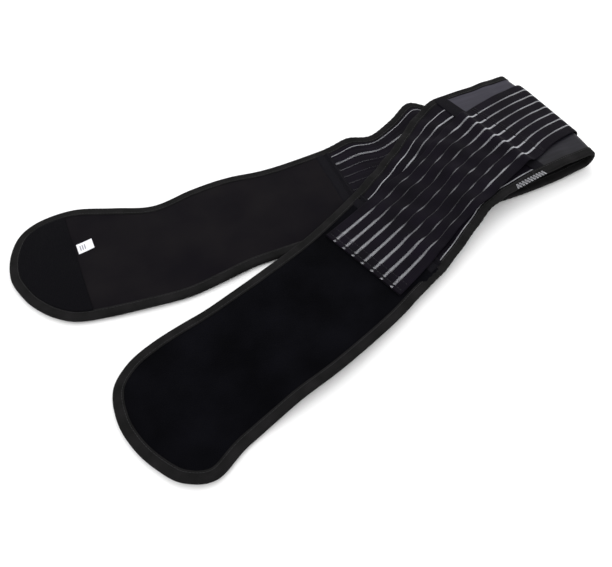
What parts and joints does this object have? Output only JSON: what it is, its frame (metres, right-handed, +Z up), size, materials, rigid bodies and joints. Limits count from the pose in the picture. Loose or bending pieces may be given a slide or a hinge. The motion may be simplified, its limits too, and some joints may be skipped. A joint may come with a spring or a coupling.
{
  "type": "lumbar support belt",
  "caption": "Elastic lumbar support belt with a padded back panel, front panels that close with hook and loop, and outer pull straps, shown folded in half.",
  "frame": {"origin": "on the surface the belt lies on, under the middle of the folded back panel", "axes": "+X towards the fold, -X towards the two free ends, +Y towards the belt's top edge, +Z up"},
  "size_m": [0.6605, 0.3589, 0.029],
  "materials": {
    "loop_pile": "knitted loop pile, matt black",
    "foam": "laminated foam",
    "lining": "brushed knit lining, matt",
    "hook_tape": "woven hook tape",
    "elastic": "woven elastic with clear monofilament stripes",
    "strap_elastic": "woven elastic with clear monofilament stripes",
    "seam_tape": "woven tape",
    "binding": "knitted folded binding",
    "satin": "grey satin weave",
    "spring_steel": "flat spiral stay",
    "label": "woven white label"
  },
  "bodies": {
    "lower_half": {"lower_front_loop_face": "loop_pile", "lower_front_foam": "foam", "lower_front_lining": "lining", "lower_elastic_web": "elastic", "lower_front_seam_tape_outer": "seam_tape", "lower_front_seam_tape_inner": "seam_tape", "lower_back_outer_satin": "satin", "lower_back_foam": "foam", "lower_back_lining": "lining", "lower_stay_casing": "seam_tape", "lower_stay": "spring_steel", "lower_edge_binding": "binding", "lower_back_binding": "binding", "lower_strap_back": "strap_elastic", "hook_patch": "hook_tape"},
    "upper_half": {"upper_front_loop_face": "loop_pile", "upper_front_foam": "foam", "upper_front_lining": "lining", "upper_elastic_web": "elastic", "upper_front_seam_tape_outer": "seam_tape", "upper_front_seam_tape_inner": "seam_tape", "upper_back_outer_satin": "satin", "upper_back_foam": "foam", "upper_back_lining": "lining", "upper_stay_casing": "seam_tape", "upper_stay": "spring_steel", "upper_edge_binding": "binding", "upper_back_binding": "binding", "upper_strap_back": "strap_elastic"},
    "upper_strap": {"upper_strap_band": "strap_elastic", "upper_strap_hem": "strap_elastic", "upper_strap_hook_patch": "hook_tape"},
    "lower_strap": {"lower_strap_band": "strap_elastic", "lower_strap_hem": "strap_elastic", "lower_strap_hook_patch": "hook_tape"},
    "size_tag": {"size_tag": "label"}
  },
  "joints": [
    {"name": "fold", "type": "hinge", "parent": "lower_half", "child": "upper_half", "pos_m": [0.0544, 0, 0.0145], "axis": [0, 1, 0], "range_deg": [0, 180]},
    {"name": "upper_strap_peel", "type": "hinge", "parent": "upper_half", "child": "upper_strap", "pos_m": [-0.0323, 0, 0.029], "axis": [0, 1, 0], "range_deg": [0, 100]},
    {"name": "lower_strap_peel", "type": "hinge", "parent": "lower_half", "child": "lower_strap", "pos_m": [-0.0323, 0, 0], "axis": [0, -1, 0], "range_deg": [0, 100]},
    {"name": "size_tag_turn", "type": "hinge", "parent": "lower_half", "child": "size_tag", "pos_m": [-0.5375, 0.053, 0.0048], "axis": [0, -1, 0], "range_deg": [0, 140]}
  ]
}
